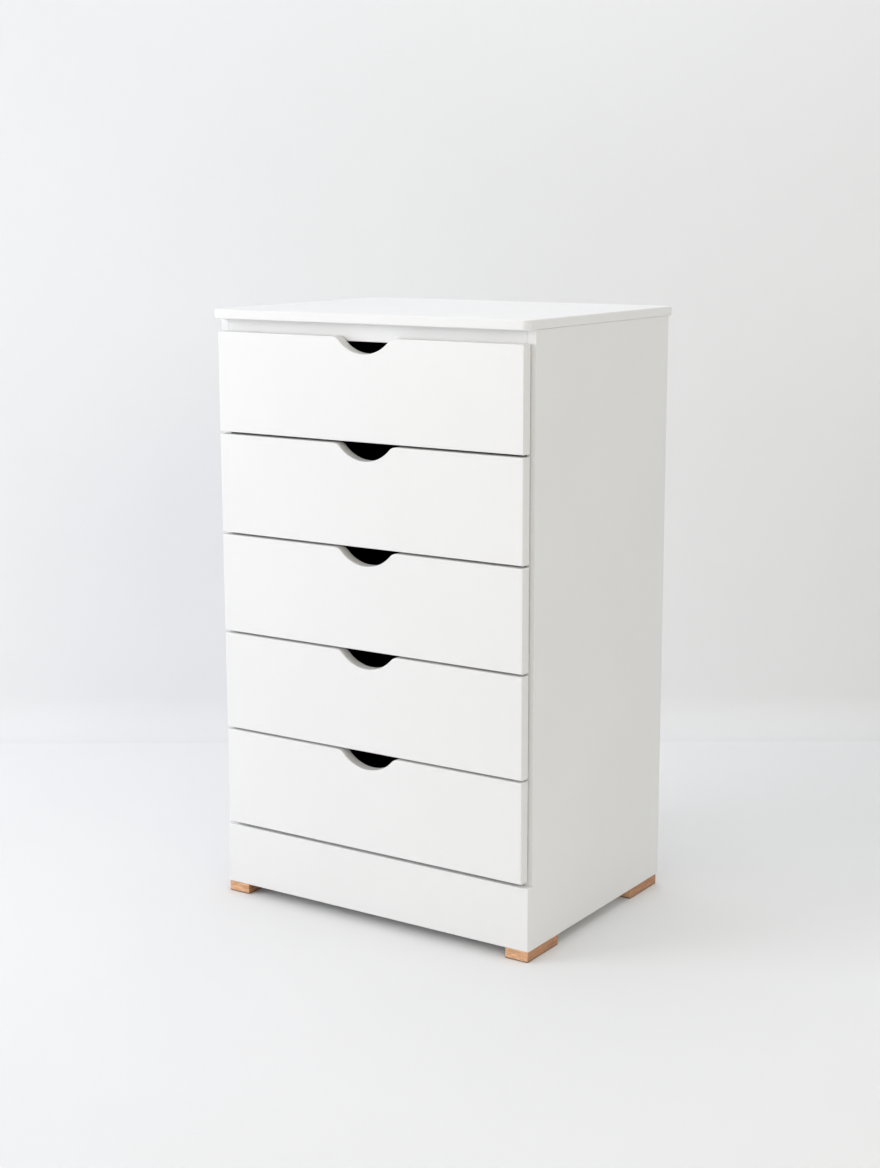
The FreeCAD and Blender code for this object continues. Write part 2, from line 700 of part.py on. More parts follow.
def channel(sketch, hand, start, reach, half, centre):
    """A channel's outline: its web starts at start and its flanges end at reach.

    Both are distances from the side panel's inner face towards the drawer, so a
    channel that opens the other way has its reach before its start."""
    steel = "Sizes.runner_steel" if value(reach) > value(start) else "0 - Sizes.runner_steel"

    def across(distance):
        return f"({hand} * {less(INNER_HALF, distance)})"

    web = total(start, steel)
    low = less(centre, half)
    high = total(centre, half)
    low_inside = total(low, "Sizes.runner_steel")
    high_inside = less(high, "Sizes.runner_steel")
    polygon(sketch, [
        (across(start), low), (across(reach), low), (across(reach), low_inside),
        (across(web), low_inside), (across(web), high_inside),
        (across(reach), high_inside), (across(reach), high), (across(start), high),
    ])


def runner_members(label, start, reach, half, base, has_screws=True):
    """A pair of equal channels, one at each side of a drawer, some with screw holes."""
    body = new_body(label)
    outline = new_sketch(body, "XZ_Plane", "outline")
    for hand in (-1, 1):
        channel(outline, hand, start, reach, half, BOX_MIDDLE)
    pad(body, outline, "Sizes.runner_length", False)
    if has_screws:
        spots = [(step, BOX_MIDDLE) for step in RUNNER_SCREW_STEPS]
        for side, along_normal in (("left", False), ("right", True)):
            drill(body, "YZ_Plane", f"{side}_screw_holes", spots, SCREW_HOLE, INNER_HALF,
                  along_normal)
    far = value("Sizes.runner_length")
    web_spots = [value(INNER_HALF) - value(start), value(start) - value(INNER_HALF)]
    round_edges(body, "bends", "Sizes.runner_bend",
                lambda edge: runs_along(edge, "Y") and abs(edge.BoundBox.YMax - far) < TOUCH
                and any(lies_at(edge, "X", spot) for spot in web_spots))
    place(body, "0", total(FRONT_PLANE, "Sizes.runner_setback"), base)
    return body


def cabinet_members():
    """The outer channels of all runners, fixed to the side panels."""
    lowest = box_base(DRAWERS)
    body = runner_members("runner_cabinet_members", "0", "Sizes.outer_reach", "Sizes.outer_half", lowest)
    features = [feature for feature in body.Group if not feature.isDerivedFrom("Part::Part2DObject")]
    outline = [feature for feature in body.Group if feature.Name.endswith("outline")][0]
    row = body.newObject("PartDesign::LinearPattern", "runner_rows")
    row.Originals = features
    row.Direction = (outline, ["V_Axis"])
    row.Occurrences = DRAWERS
    row.setExpression("Length", f"{DRAWERS - 1} * (Sizes.front_height + Sizes.front_spacing)")
    body.Tip = row
    doc.recompute()
    return finish(body)


def drawer_runners(number):
    """The middle channels and the drawer's own channels of one drawer."""
    finish(runner_members(f"runner_{number}_middle_members", "Sizes.middle_start",
                          "Sizes.middle_reach", "Sizes.middle_half", box_base(number), False))
    finish(runner_members(f"drawer_{number}_runner_members", "Sizes.runner_gap",
                          "Sizes.runner_gap - Sizes.inner_reach", "Sizes.inner_half",
                          box_base(number)))


# Groups of fasteners in the carcass

def carcass_dowels():
    """Equal wooden dowels: top to sides, bottom to sides, rail to sides, plinth to sides."""
    pieces = []
    end_play = "(Sizes.dowel_face_hole + Sizes.dowel_end_hole - Sizes.dowel_length) / 2"
    buried = less("Sizes.dowel_end_hole", end_play)

    def dowel(name, direction, spot):
        pieces.append(rod(name, "Sizes.dowel_radius", "Sizes.dowel_length", direction, spot))

    for side, hand, outward in (("left", -1, LEFT), ("right", 1, RIGHT)):
        middle = f"({hand} * ({HALF_WIDTH} - Sizes.board / 2))"
        start = f"({hand} * ({INNER_HALF} - {buried}))"
        for step, depth in enumerate(DOWEL_DEPTHS, start=1):
            spot = (middle, total(FRONT_PLANE, depth), less(SIDE_TOP, buried))
            dowel(f"dowel_top_{side}_{step}", UP, spot)
        for step, depth in enumerate(BOTTOM_DOWEL_DEPTHS, start=1):
            spot = (start, total(FRONT_PLANE, depth), less(PLINTH_TOP, "Sizes.board / 2"))
            dowel(f"dowel_bottom_{side}_{step}", outward, spot)
        spot = (start, total(FRONT_PLANE, "Sizes.board / 2"), less(SIDE_TOP, "Sizes.rail_height / 2"))
        dowel(f"dowel_rail_{side}", outward, spot)
        for step, lift in enumerate(PLINTH_DOWEL_LIFTS, start=1):
            spot = (middle, total(FRONT_PLANE, buried), total("Sizes.foot_height", lift))
            dowel(f"dowel_plinth_{side}_{step}", FORWARDS, spot)
    return group("carcass_dowels", pieces)


def carcass_screws():
    """Two screws up through each foot and three through each runner's cabinet member."""
    pieces = []
    web = less(INNER_HALF, "Sizes.runner_steel")
    for side, hand in (("left", -1), ("right", 1)):
        middle = f"({hand} * ({HALF_WIDTH} - Sizes.board / 2))"
        for step, depth in enumerate(foot_screw_depths(), start=1):
            spot = (middle, total(FRONT_PLANE, depth), total("Sizes.foot_screw_sink", "Sizes.screw_sink"))
            pieces += screw(f"foot_screw_{side}_{step}", "Sizes.foot_screw", UP, spot)
        for number in range(1, DRAWERS + 1):
            pieces += runner_screws(f"runner_{number}_{side}_screw", web, -1, hand,
                                    runner_height(number))
    return group("carcass_screws", pieces)


def back_panel_pins():
    """Pins that hold the back panel to the rear edge of the bottom panel."""
    pieces = []
    rear = total(FRONT_PLANE, BACK_FACE, "Sizes.back_board")
    for count, step in enumerate(PIN_STEPS, start=1):
        spot = (f"({step} * Sizes.pin_spacing)", rear, less(PLINTH_TOP, "Sizes.board / 2"))
        pieces.append(rod(f"back_pin_{count}", "Sizes.pin_radius", "Sizes.pin_length", FORWARDS, spot))
    return group("back_panel_pins", pieces)


top_panel()
side_panel("side_panel_left", -1)
side_panel("side_panel_right", 1)
bottom_panel()
top_front_rail()
back_panel()
plinth_board()
for foot_end in ("front", "rear"):
    foot(f"foot_{foot_end}_left", -1, foot_end)
    foot(f"foot_{foot_end}_right", 1, foot_end)
carcass_dowels()
carcass_screws()
back_panel_pins()
cabinet_members()
for drawer in range(1, DRAWERS + 1):
    drawer_front(drawer)
    inner_front(drawer)
    box_side(drawer, "side_left", -1)
    box_side(drawer, "side_right", 1)
    box_back(drawer)
    box_floor(drawer)
    drawer_screws(drawer)
    drawer_runners(drawer)

doc.recompute()

for item in doc.Objects:
    if "Invalid" in item.State or "Error" in item.State:
        raise RuntimeError(f"{item.Label} did not compute: {item.State}")
for feature, volume_before in cuts:
    if feature.Shape.Volume > volume_before - LEAST_CUT:
        raise RuntimeError(f"{feature.Label} cut nothing")
for item in sub_parts:
    if item.Shape.isNull() or not item.Shape.isValid() or not item.Shape.Solids:
        raise RuntimeError(f"{item.Label} has no valid solid")

os.makedirs("parts", exist_ok=True)
for item in sub_parts:
    item.Shape.exportStep(f"parts/{item.Label}.step")
print(len(sub_parts), "sub-parts written")
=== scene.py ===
import json
import math

import bmesh
import bpy
from mathutils import Matrix, Vector

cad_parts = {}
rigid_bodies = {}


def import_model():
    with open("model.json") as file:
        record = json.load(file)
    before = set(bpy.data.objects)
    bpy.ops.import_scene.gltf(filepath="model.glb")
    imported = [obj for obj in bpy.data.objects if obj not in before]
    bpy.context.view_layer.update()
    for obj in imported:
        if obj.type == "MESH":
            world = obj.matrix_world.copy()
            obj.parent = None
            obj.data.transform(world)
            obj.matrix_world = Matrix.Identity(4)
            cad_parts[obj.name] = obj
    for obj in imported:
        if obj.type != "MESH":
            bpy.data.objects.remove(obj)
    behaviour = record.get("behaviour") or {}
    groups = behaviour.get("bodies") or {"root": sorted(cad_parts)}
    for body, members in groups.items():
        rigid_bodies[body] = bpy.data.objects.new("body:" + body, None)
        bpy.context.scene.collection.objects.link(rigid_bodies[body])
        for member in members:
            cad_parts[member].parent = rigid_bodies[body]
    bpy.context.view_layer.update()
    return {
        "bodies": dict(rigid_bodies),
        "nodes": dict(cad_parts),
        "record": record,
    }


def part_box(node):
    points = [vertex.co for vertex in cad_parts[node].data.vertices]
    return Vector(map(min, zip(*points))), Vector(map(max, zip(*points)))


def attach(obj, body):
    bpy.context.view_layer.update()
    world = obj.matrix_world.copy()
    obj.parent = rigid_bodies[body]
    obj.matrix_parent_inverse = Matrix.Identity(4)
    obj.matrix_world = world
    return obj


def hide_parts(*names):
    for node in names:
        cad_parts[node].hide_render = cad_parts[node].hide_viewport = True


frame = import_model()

# A tall white chest of drawers, in metres, in the CAD model's own frame:
# X runs to the right, Y to the back and Z up, with the origin on the floor below the centre.

RECORD = frame["record"]
NODES = frame["nodes"]
DRAWERS = sorted(name for name in frame["bodies"] if name.startswith("drawer_"))
MM = 0.001


# Camera

CAMERA_TURN = math.radians(33.708)       # to the right of the chest's middle plane
CAMERA_TILT = math.radians(11.222)       # below the horizon
CAMERA_ROLL = math.radians(-0.163)
CAMERA_SPOT = Vector((2.0328, -3.0624, 1.3478))
LENS = 59.27
SENSOR = 36.0
CLIP_END = 100


def view_axes():
    """The camera's forward, right and up directions."""
    forward = Vector((
        -math.sin(CAMERA_TURN) * math.cos(CAMERA_TILT),
        math.cos(CAMERA_TURN) * math.cos(CAMERA_TILT),
        -math.sin(CAMERA_TILT),
    ))
    level = forward.cross(Vector((0, 0, 1))).normalized()
    upright = level.cross(forward)
    right = level * math.cos(CAMERA_ROLL) + upright * math.sin(CAMERA_ROLL)
    up = right.cross(forward)
    return forward, right, up


def make_camera():
    """The scene's camera."""
    data = bpy.data.cameras.new("camera")
    data.lens = LENS
    data.sensor_width = SENSOR
    data.clip_end = CLIP_END
    camera = bpy.data.objects.new("camera", data)
    bpy.context.scene.collection.objects.link(camera)
    forward, right, up = view_axes()
    turn = Matrix((right, up, -forward)).transposed().to_4x4()
    camera.matrix_world = Matrix.Translation(CAMERA_SPOT) @ turn
    bpy.context.scene.camera = camera


# Node helpers

def new_material(name):
    """A material with an empty tree, its Principled shader and its tree."""
    material = bpy.data.materials.new(name)
    material.use_nodes = True
    tree = material.node_tree
    tree.nodes.clear()
    output = tree.nodes.new("ShaderNodeOutputMaterial")
    shader = tree.nodes.new("ShaderNodeBsdfPrincipled")
    tree.links.new(shader.outputs["BSDF"], output.inputs["Surface"])
    return material, shader, tree


def add(tree, kind, **inputs):
    """A node with its inputs set to values or linked to sockets."""
    node = tree.nodes.new(kind)
    for name, given in inputs.items():
        socket = node.inputs[name.replace("_", " ")]
        if isinstance(given, bpy.types.NodeSocket):
            tree.links.new(given, socket)
        else:
            socket.default_value = given
    return node


def stretched(tree, scale, shift=(0.0, 0.0, 0.0)):
    """Object coordinates, in metres, scaled differently along each axis."""
    place = tree.nodes.new("ShaderNodeTexCoord")
    mapping = add(tree, "ShaderNodeMapping", Vector=place.outputs["Object"], Location=shift,
                  Scale=scale)
    return mapping.outputs["Vector"]


def noise(tree, where, scale, detail=2.0, roughness=0.5, distortion=0.0):
    """A noise texture's value."""
    node = add(tree, "ShaderNodeTexNoise", Vector=where, Scale=scale, Detail=detail,
               Roughness=roughness, Distortion=distortion)
    return node.outputs["Fac"]


def ramp(tree, factor, stops):
    """A colour ramp through (place, colour) stops."""
    node = tree.nodes.new("ShaderNodeValToRGB")
    tree.links.new(factor, node.inputs["Fac"])
    points = node.color_ramp.elements
    for index, (place, colour) in enumerate(stops):
        point = points[index] if index < 2 else points.new(place)
        point.position = place
        point.color = (*colour, 1.0)
    return node.outputs["Color"]


def spread(tree, factor, low, high):
    """A factor from 0 to 1 spread between two numbers."""
    node = add(tree, "ShaderNodeMapRange", Value=factor, To_Min=low, To_Max=high)
    return node.outputs["Result"]


def blend_colours(tree, mode, amount, first, second):
    """Two colours mixed in one of the mix node's modes."""
    node = tree.nodes.new("ShaderNodeMix")
    node.data_type = "RGBA"
    node.blend_type = mode
    for socket, given in ((node.inputs[0], amount), (node.inputs[6], first), (node.inputs[7], second)):
        if isinstance(given, bpy.types.NodeSocket):
            tree.links.new(given, socket)
        elif socket.type == "RGBA":
            socket.default_value = (*given, 1.0)
        else:
            socket.default_value = given
    return node.outputs[2]


def bump(tree, height, depth, under=None):
    """A bump of a given depth in metres, over another bump if there is one."""
    node = add(tree, "ShaderNodeBump", Height=height, Strength=1.0, Distance=depth)
    if under is not None:
        tree.links.new(under, node.inputs["Normal"])
    return node.outputs["Normal"]


# Materials: one function for each of the record's slots, and one for the bumpers.
# Noise scales are patches per metre.

WAVE_DEPTH = 0.04 * MM     # of the lacquer's slow waves
PEEL_DEPTH = 0.02 * MM     # of its orange peel
PRESS_DEPTH = 0.05 * MM    # of the laminate's pressed grain
FIBRE_DEPTH = 0.06 * MM    # of the beech's fibres
STREAK_DEPTH = 0.02 * MM   # of the steel's fine marks
BOTTOM_BAND_TOP = 2.2 * MM         # of the dark band at the bottom of the feet
BOTTOM_BAND_SHARP = 0.8            # share of that height below which the band's dark colour is full
SIDE_FROM = 0.6            # how squarely a face looks along X before its painted side shade begins,
SIDE_TO = 0.95             # and where it is complete


def lacquer(name, light, dark, gloss):
    """Sprayed satin paint on MDF: a fine orange peel and a faint cloudiness."""
    material, shader, tree = new_material(name)
    where = stretched(tree, (1, 1, 1))
    clouds = noise(tree, where, 3.0, 3.0)
    colour = ramp(tree, clouds, [(0.35, dark), (0.65, light)])
    tree.links.new(colour, shader.inputs["Base Color"])
    smears = noise(tree, where, 14.0, 4.0, 0.6)
    tree.links.new(spread(tree, smears, gloss - 0.05, gloss + 0.05), shader.inputs["Roughness"])
    waves = bump(tree, noise(tree, where, 60.0, 2.0), WAVE_DEPTH)
    peel = bump(tree, noise(tree, where, 900.0, 2.0), PEEL_DEPTH, waves)
    tree.links.new(peel, shader.inputs["Normal"])
    shader.inputs["Specular IOR Level"].default_value = 0.5
    return material


def white_lacquer():
    """The chest's own finish."""
    return lacquer("white_lacquer", (0.868, 0.868, 0.862), (0.852, 0.852, 0.845), 0.42)


def back_board():
    """White hardboard, flatter than the lacquer."""
    return lacquer("back_board", (0.80, 0.80, 0.77), (0.76, 0.76, 0.73), 0.62)


def charcoal(name, colour, gloss):
    """Charcoal laminate with a fine pressed grain."""
    material, shader, tree = new_material(name)
    where = stretched(tree, (1, 1, 1))
    light = tuple(channel * 1.5 for channel in colour)
    clouds = noise(tree, where, 40.0, 4.0)
    tree.links.new(ramp(tree, clouds, [(0.3, colour), (0.7, light)]), shader.inputs["Base Color"])
    tree.links.new(spread(tree, clouds, gloss - 0.08, gloss + 0.08), shader.inputs["Roughness"])
    grain = noise(tree, where, 1200.0, 2.0)
    tree.links.new(bump(tree, grain, PRESS_DEPTH), shader.inputs["Normal"])
    return material


def dark_board():
    """The drawer boxes' boards."""
    return charcoal("dark_board", (0.020, 0.022, 0.027), 0.5)


def dark_hardboard():
    """The drawers' thin bottoms."""
    return charcoal("dark_hardboard", (0.024, 0.026, 0.031), 0.62)


def side_shade_mask(tree):
    """1 on faces that look along X, which take the feet's painted side shade, 0 on the others."""
    normal = tree.nodes.new("ShaderNodeTexCoord").outputs["Normal"]
    across = add(tree, "ShaderNodeSeparateXYZ", Vector=normal).outputs["X"]
    size = tree.nodes.new("ShaderNodeMath")
    size.operation = "ABSOLUTE"
    tree.links.new(across, size.inputs[0])
    return add(tree, "ShaderNodeMapRange", Value=size.outputs["Value"], From_Min=SIDE_FROM,
               From_Max=SIDE_TO).outputs["Result"]


def near_floor(tree):
    """1 on the lowest part of the feet, which is coloured dark, and 0 above it."""
    place = tree.nodes.new("ShaderNodeTexCoord").outputs["Object"]
    height = add(tree, "ShaderNodeSeparateXYZ", Vector=place).outputs["Z"]
    return add(tree, "ShaderNodeMapRange", Value=height, From_Min=BOTTOM_BAND_TOP,
               From_Max=BOTTOM_BAND_TOP * BOTTOM_BAND_SHARP).outputs["Result"]


def beech_like(name, light, dark, gloss, painted_side_shade=(1.0, 1.0, 1.0), bottom_band_colour=None):
    """Beech: soft growth bands and short dark flecks in level layers.

    The colour of the faces that look along X is multiplied by a painted shade, which makes a foot's
    sides darker than its ends, and the lowest part of the feet takes a dark colour when one is given."""
    material, shader, tree = new_material(name)
    bands_at = stretched(tree, (14.0, 3.0, 90.0))
    bands = noise(tree, bands_at, 1.0, 4.0, 0.55, 0.6)
    base = ramp(tree, bands, [(0.30, dark), (0.55, light), (0.75, dark)])
    fibres_at = stretched(tree, (75.0, 22.0, 420.0))
    fibres = noise(tree, fibres_at, 1.0, 4.0, 0.65)
    fibre_tone = ramp(tree, fibres, [(0.40, (0.62, 0.55, 0.48)), (0.60, (1.0, 1.0, 1.0))])
    coloured = blend_colours(tree, "MULTIPLY", 0.75, base, fibre_tone)
    flecks_at = stretched(tree, (130.0, 90.0, 480.0), (3.1, 0.7, 5.3))
    cells = add(tree, "ShaderNodeTexVoronoi", Vector=flecks_at, Scale=1.0).outputs["Distance"]
    fleck_tone = ramp(tree, cells, [(0.12, (0.50, 0.38, 0.28)), (0.30, (1.0, 1.0, 1.0))])
    flecked = blend_colours(tree, "MULTIPLY", 0.7, coloured, fleck_tone)
    # Painted shade: the faces that look along X are multiplied darker.
    finished = blend_colours(tree, "MULTIPLY", side_shade_mask(tree), flecked, painted_side_shade)
    # Darker towards the bottom: the lowest part of the feet takes a dark colour.
    if bottom_band_colour:
        finished = blend_colours(tree, "MIX", near_floor(tree), finished, bottom_band_colour)
    tree.links.new(finished, shader.inputs["Base Color"])
    tree.links.new(spread(tree, fibres, gloss - 0.08, gloss + 0.1), shader.inputs["Roughness"])
    tree.links.new(bump(tree, fibres, FIBRE_DEPTH), shader.inputs["Normal"])
    return material


def beech():
    """The feet: oiled natural beech, with painted shade on their sides and darker towards the bottom.
    """
    # (0.68, 0.58, 0.52) is the painted shade on the feet's sides; the last colour darkens their bottom
    # edge.
    return beech_like("beech", (0.90, 0.54, 0.31), (0.70, 0.38, 0.20), 0.45, (0.68, 0.58, 0.52),
                      (0.10, 0.06, 0.04))


def dowel_wood():
    """The hidden dowels."""
    return beech_like("dowel_wood", (0.66, 0.45, 0.27), (0.55, 0.36, 0.2), 0.6)


def plated(name, colour, gloss, streak_scale):
    """Zinc-plated steel with fine marks, which are streaks if streak_scale is uneven."""
    material, shader, tree = new_material(name)
    shader.inputs["Metallic"].default_value = 1.0
    streaks = noise(tree, stretched(tree, streak_scale), 1.0, 3.0, 0.6)
    spots = noise(tree, stretched(tree, (1, 1, 1)), 55.0, 4.0)
    dull = tuple(channel * 0.82 for channel in colour)
    tree.links.new(ramp(tree, spots, [(0.3, dull), (0.7, colour)]), shader.inputs["Base Color"])
    tree.links.new(spread(tree, streaks, gloss - 0.08, gloss + 0.1), shader.inputs["Roughness"])
    tree.links.new(bump(tree, streaks, STREAK_DEPTH), shader.inputs["Normal"])
    return material


def zinc_plated_steel():
    """The runner members."""
    return plated("zinc_plated_steel", (0.62, 0.63, 0.65), 0.3, (1500.0, 12.0, 1500.0))


def screw_steel():
    """Screws and pins."""
    return plated("screw_steel", (0.58, 0.57, 0.55), 0.35, (900.0, 900.0, 900.0))


def soft_plastic():
    """The clear bumpers behind the drawer fronts."""
    material, shader, tree = new_material("soft_plastic")
    where = stretched(tree, (1, 1, 1))
    haze = noise(tree, where, 400.0, 2.0)
    tree.links.new(ramp(tree, haze, [(0.3, (0.52, 0.53, 0.52)), (0.7, (0.60, 0.61, 0.60))]),
                   shader.inputs["Base Color"])
    tree.links.new(spread(tree, haze, 0.22, 0.38), shader.inputs["Roughness"])
    shader.inputs["Transmission Weight"].default_value = 0.35
    return material


def dress_nodes():
    """Give each CAD node the material of its slot in the record, and return the materials."""
    makers = {
        "white_lacquer": white_lacquer, "back_board": back_board, "beech": beech,
        "dowel_wood": dowel_wood, "dark_board": dark_board, "dark_hardboard": dark_hardboard,
        "zinc_plated_steel": zinc_plated_steel, "screw_steel": screw_steel,
    }
    materials = {slot: maker() for slot, maker in makers.items()}
    for entry in RECORD["subparts"]:
        node = NODES[entry["node"]]
        for slot in node.material_slots:
            slot.material = materials[entry["material_slot"]]
    materials["bumper"] = soft_plastic()
    return materials


# Fittings: screws with threads and cross recesses, runner balls in their cages, soft bumpers

SCREW_SIDES = 20
THREAD_PITCH = 2.4 * MM
THREAD_DEPTH = 0.45 * MM
END_PARTS = 5               # a screw's end is one part in so many of its length
NECK = 0.02                 # of the step below a head, in head radii
POINT_LENGTH = 2.2          # of a screw's point, in shank radii
POINT_RADIUS = 0.12         # of its tip, in shank radii
RAISED_LENGTH = 20 * MM     # shorter screws have raised heads, longer ones countersunk heads
GOLDEN_TURN = 2.4           # radians from one screw's cross to the next one's

# depth below the top and radius, in head radii
RAISED_CROWN = [(0.0, 0.55), (0.06, 0.66), (0.18, 0.80), (0.34, 0.94), (0.46, 1.0), (0.51, 1.0)]
COUNTERSUNK_RIM = [(0.0, 0.93), (0.03, 0.99), (0.06, 1.0)]

# reach, half width and depth of the cross recess, in radii of the head's flat top
CROSS_MOUTH = (0.66, 0.14, 0.0)
CROSS_FLOOR = (0.42, 0.08, 0.55)

BALL_RADIUS = 1.2 * MM
BALL_PLAY = 0.05 * MM
BALL_SPACING = 18 * MM
BALL_FACETS = 2             # subdivisions of a ball
CAGE_SHEET = 0.4 * MM
CAGE_MARGIN = 6 * MM
CAGE_SHARE = 0.5            # of the runner's length that one cage takes up
INNER_WEB = 1.5 * MM        # from the middle member's outer face to the inner cage's
OUTER_LIP = 5 * MM          # from the middle member's outer face to where the outer lips end
INNER_LIP = 4 * MM          # from the drawer member's outer edge to where the inner lips end

BUMPER_RADIUS = 2.5 * MM
BUMPER_TAPER = 0.7          # of the radius at the far end
BUMPER_SIDES = 24
BUMPER_PLAY = 0.1 * MM
BUMPER_LIFT = 12 * MM       # from the front's lower and upper edges
BUMPER_INSET = 0.5 * MM     # from the side panel's inner face


def finish_piece(name, mesh, material, body):
    """An object made from a bmesh, with its material, slot and body."""
    bmesh.ops.recalc_face_normals(mesh, faces=mesh.faces)
    data = bpy.data.meshes.new(name)
    mesh.to_mesh(data)
    mesh.free()
    data.materials.append(material)
    piece = bpy.data.objects.new(name, data)
    bpy.context.scene.collection.objects.link(piece)
    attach(piece, body)
    return piece


def connected_points(start, seen):
    """The points of every vertex that edges join to start, which are all marked as seen."""
    seen.add(start)
    waiting = [start]
    points = []
    while waiting:
        vertex = waiting.pop()
        points.append(vertex.co.copy())
        for edge in vertex.link_edges:
            other = edge.other_vert(vertex)
            if other not in seen:
                seen.add(other)
                waiting.append(other)
    return points


def loose_parts(node):
    """The points of each separate solid of a node's mesh."""
    mesh = bmesh.new()
    mesh.from_mesh(node.data)
    bmesh.ops.remove_doubles(mesh, verts=mesh.verts, dist=0.001 * MM)
    seen = set()
    parts = [connected_points(start, seen) for start in mesh.verts if start not in seen]
    mesh.free()
    return parts


def screw_measures(points):
    """A plain screw's head spot, direction of its shank, length and radii of its head and shank."""
    low = [min(point[axis] for point in points) for axis in range(3)]
    high = [max(point[axis] for point in points) for axis in range(3)]
    length, axis = max((high[axis] - low[axis], axis) for axis in range(3))
    middle = Vector((low[axis] + high[axis]) / 2 for axis in range(3))

    def radius_near(end):
        rim = [point for point in points if abs(point[axis] - end) < length / END_PARTS]
        return max((((point - middle).length ** 2 - (point[axis] - middle[axis]) ** 2) ** 0.5)
                   for point in rim)

    ends = (low[axis], high[axis])
    head = max(ends, key=radius_near)
    tip = min(ends, key=radius_near)
    spot = middle.copy()
    spot[axis] = head
    along = Vector((0, 0, 0))
    along[axis] = math.copysign(1, tip - head)
    return spot, along, length, radius_near(head), radius_near(tip)


def screw_profile(length, head, shank, raised):
    """(depth below the head's top, radius) points down a screw, for a raised or a countersunk head."""
    crown = RAISED_CROWN if raised else COUNTERSUNK_RIM
    points = [(share * head, width * head) for share, width in crown]
    if not raised:
        points.append((points[-1][0] + head - shank, shank))
    depth = points[-1][0]
    points.append((depth + NECK * head, shank))
    point_depth = length - POINT_LENGTH * shank
    depth += THREAD_PITCH
    while depth + THREAD_PITCH < point_depth:
        points.append((depth, shank - THREAD_DEPTH))
        points.append((depth + THREAD_PITCH / 2, shank))
        depth += THREAD_PITCH
    points.append((point_depth, shank - THREAD_DEPTH))
    points.append((length, POINT_RADIUS * shank))
    return points


def cross_outline(mesh, place, flat, measures):
    """The twelve vertices of a cross's outline in a screw's head with a top of radius flat."""
    reach, half, depth = (flat * share for share in measures)
    corners = []
    for quarter in range(4):
        turn = Matrix.Rotation(quarter * math.pi / 2, 3, "Z")
        for across, out in ((-half, reach), (half, reach), (half, half)):
            corner = turn @ Vector((-across, out, -depth))
            corners.append(mesh.verts.new(place @ corner))
    return corners


def circle(mesh, place, depth, radius):
    """The vertices of one ring round a screw."""
    ring = []
    for side in range(SCREW_SIDES):
        angle = 2 * math.pi * side / SCREW_SIDES
        point = Vector((radius * math.cos(angle), radius * math.sin(angle), -depth))
        ring.append(mesh.verts.new(place @ point))
    return ring


def wall_between(mesh, upper, lower):
    """Faces between two rings of as many vertices."""
    for side in range(len(upper)):
        after = (side + 1) % len(upper)
        mesh.faces.new((upper[side], upper[after], lower[after], lower[side]))


def fill_between(mesh, outer, inner):
    """A flat face between two loops of vertices, one inside the other."""
    edges = []
    for loop in (outer, inner):
        for index, vertex in enumerate(loop):
            following = loop[(index + 1) % len(loop)]
            edges.append(mesh.edges.get((vertex, following)) or mesh.edges.new((vertex, following)))
    bmesh.ops.triangle_fill(mesh, edges=edges, use_beauty=True)


def screw_into(mesh, spot, along, profile, turn):
    """Add one screw to the mesh, with its head's top at spot and its cross turned."""
    aim = along.to_track_quat("-Z", "Y").to_matrix().to_4x4()
    place = Matrix.Translation(spot) @ aim @ Matrix.Rotation(turn, 4, "Z")
    rings = [circle(mesh, place, depth, radius) for depth, radius in profile]
    for upper, lower in zip(rings, rings[1:]):
        wall_between(mesh, upper, lower)
    mesh.faces.new(rings[-1])
    flat = profile[0][1]
    mouth = cross_outline(mesh, place, flat, CROSS_MOUTH)
    floor = cross_outline(mesh, place, flat, CROSS_FLOOR)
    fill_between(mesh, rings[0], mouth)
    wall_between(mesh, mouth, floor)
    mesh.faces.new(floor)


def real_screws(node_name, body, materials):
    """Threaded screws with cross recesses in place of a node's plain ones."""
    mesh = bmesh.new()
    for index, points in enumerate(loose_parts(NODES[node_name])):
        spot, along, length, head, shank = screw_measures(points)
        profile = screw_profile(length, head, shank, length < RAISED_LENGTH)
        screw_into(mesh, spot, along, profile, index * GOLDEN_TURN)
    piece = finish_piece(f"{node_name}_threaded", mesh, materials["screw_steel"], body)
    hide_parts(node_name)


def box_into(mesh, low, high):
    """Add a box between two corners."""
    middle = (Vector(low) + Vector(high)) / 2
    size = Vector(high) - Vector(low)
    place = Matrix.Translation(middle) @ Matrix.Diagonal((*(abs(side) for side in size), 1))
    bmesh.ops.create_cube(mesh, size=1.0, matrix=place)


def balls_into(mesh, across, front, rear, height):
    """Add a row of evenly spaced balls, centred between front and rear."""
    count = int((rear - front - BALL_SPACING / 2) / BALL_SPACING)
    start = (front + rear - (count - 1) * BALL_SPACING) / 2
    for step in range(count):
        spot = Vector((across, start + step * BALL_SPACING, height))
        bmesh.ops.create_icosphere(mesh, subdivisions=BALL_FACETS, radius=BALL_RADIUS,
                                   matrix=Matrix.Translation(spot))


def cage_into(mesh, hand, web, lip, half, ends, middle):
    """Add one U-shaped cage, from end to end along Y, and its two rows of balls.

    web and lip are how far from the middle plane the cage's web lies and its lips end."""
    front, rear = ends
    inner, outer = sorted((hand * web, hand * (web - CAGE_SHEET)))
    box_into(mesh, (inner, front, middle - half), (outer, rear, middle + half))
    for level in (-1, 1):
        edge = middle + level * half
        inner, outer = sorted((hand * lip, hand * web))
        box_into(mesh, (inner, front, edge - CAGE_SHEET / 2), (outer, rear, edge + CAGE_SHEET / 2))
        balls_into(mesh, hand * (web + lip) / 2, front, rear, edge)


